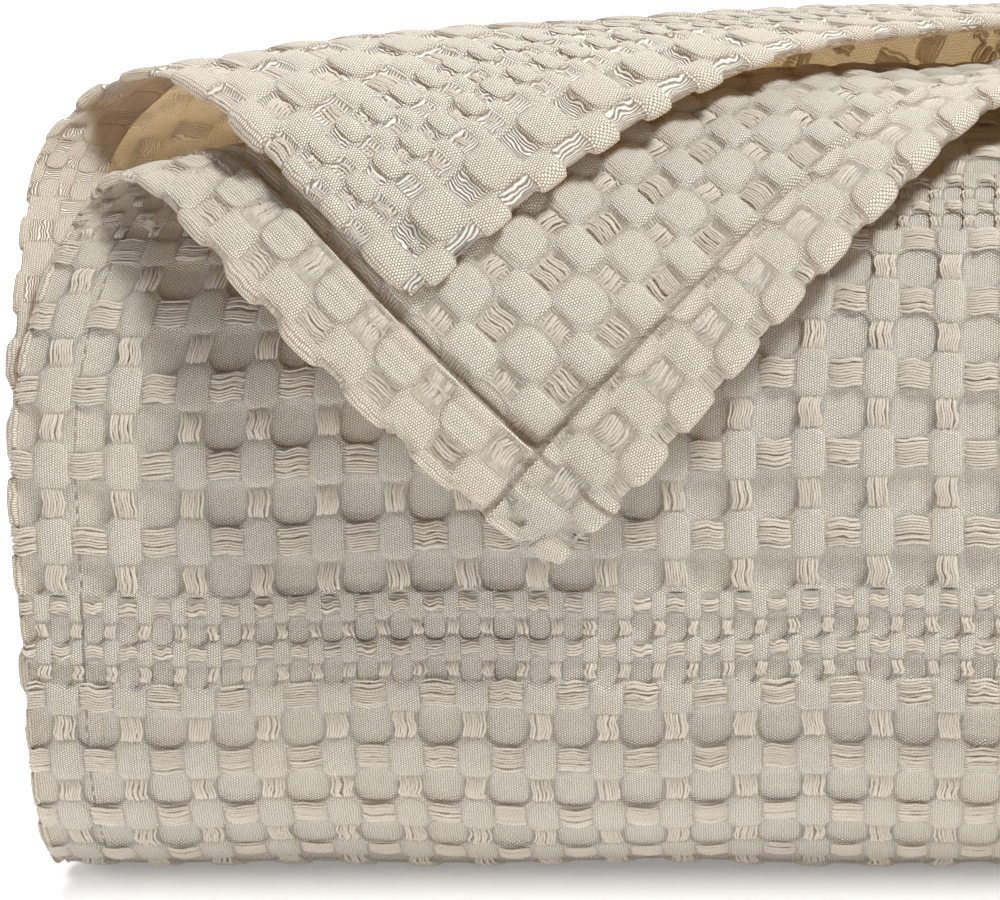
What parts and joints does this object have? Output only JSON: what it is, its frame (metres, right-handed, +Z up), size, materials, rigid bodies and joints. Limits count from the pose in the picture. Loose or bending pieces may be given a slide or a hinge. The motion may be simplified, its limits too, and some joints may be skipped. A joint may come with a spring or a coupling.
{
  "type": "waffle weave blanket",
  "caption": "Waffle weave cotton blanket folded into a soft pile, the corners of its top layers rolled over and hanging down the rounded front.",
  "frame": {"origin": "bottom centre of the folded pile's box, on the surface it rests on", "axes": "+X to the right along the front, +Y to the back, so the rounded front with the hanging corners faces -Y, +Z up"},
  "size_m": [0.4256, 0.3878, 0.1978],
  "materials": {
    "natural cotton": "matt waffle woven cotton in a natural linen colour"
  },
  "bodies": {
    "root": {"blanket": "natural cotton"}
  },
  "joints": []
}
